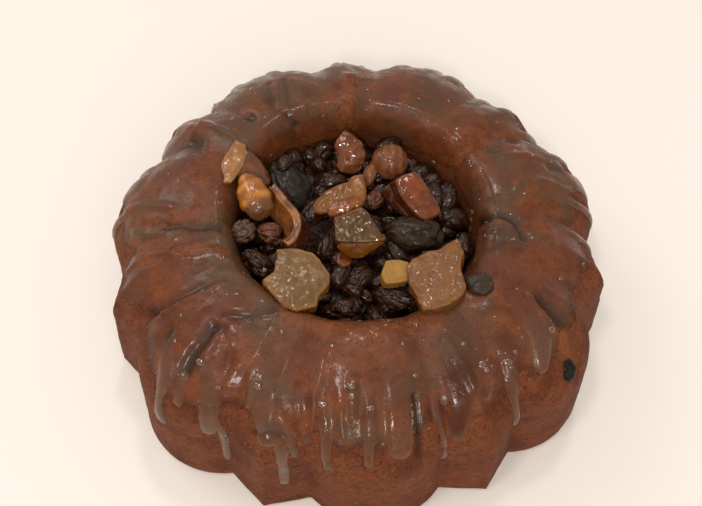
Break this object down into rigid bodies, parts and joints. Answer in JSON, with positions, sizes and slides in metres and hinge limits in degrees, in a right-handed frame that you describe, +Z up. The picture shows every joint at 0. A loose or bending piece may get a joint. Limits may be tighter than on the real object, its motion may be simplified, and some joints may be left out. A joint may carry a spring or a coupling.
{
  "type": "rum bundt cake",
  "caption": "Whole fluted ring cake with a thin glaze running down its lobes and ribs, its centre hole packed with raisins, prunes and candied fruit.",
  "frame": {"origin": "centre of the flat base, on the surface the cake rests on", "axes": "+Z up; -Y is the front that the picture shows nearest; +X to the right of that view"},
  "size_m": [0.1896, 0.1845, 0.0682],
  "materials": {
    "crust": "dark crust under a thin translucent glaze, satin with wet highlights",
    "raisin": "glossy, wrinkled, syrup-wet",
    "prune": "dull bluish black, folded",
    "sultana": "translucent brown, glossy",
    "orange": "golden candied orange, glossy",
    "cherry": "translucent red-brown candied fruit, glossy",
    "citron": "translucent olive-tan candied citron, glossy",
    "melon": "translucent tan candied fruit, glossy",
    "pineapple": "opaque pale yellow candied fruit, satin",
    "amber_peel": "amber candied peel, glossy",
    "peel": "tan candied peel, satin"
  },
  "bodies": {
    "root": {"cake": "crust", "fruit_heap": "raisin", "baked_raisin_top": "raisin", "baked_raisin_side": "raisin", "peel_flake_left": "peel", "citron_chunk": "citron", "melon_chunk": "melon", "peel_flake_middle": "amber_peel", "citron_cube": "citron", "pineapple_cube": "pineapple", "candied_orange": "orange", "cherry_block": "cherry", "sultana_rear": "sultana", "cherry_piece_rear": "cherry", "peel_curl": "amber_peel", "prune_left": "prune", "raisin_on_prune": "raisin", "prune_right": "prune", "raisin_left_outer": "raisin", "raisin_in_curl": "raisin", "raisin_left_lower": "raisin", "raisin_middle_rear": "raisin", "raisin_middle": "raisin", "sultana_small": "sultana", "raisin_front_left": "raisin", "raisin_front_right": "raisin", "raisin_front_middle": "raisin", "raisin_middle_left": "raisin", "cherry_bit": "cherry"}
  },
  "joints": []
}
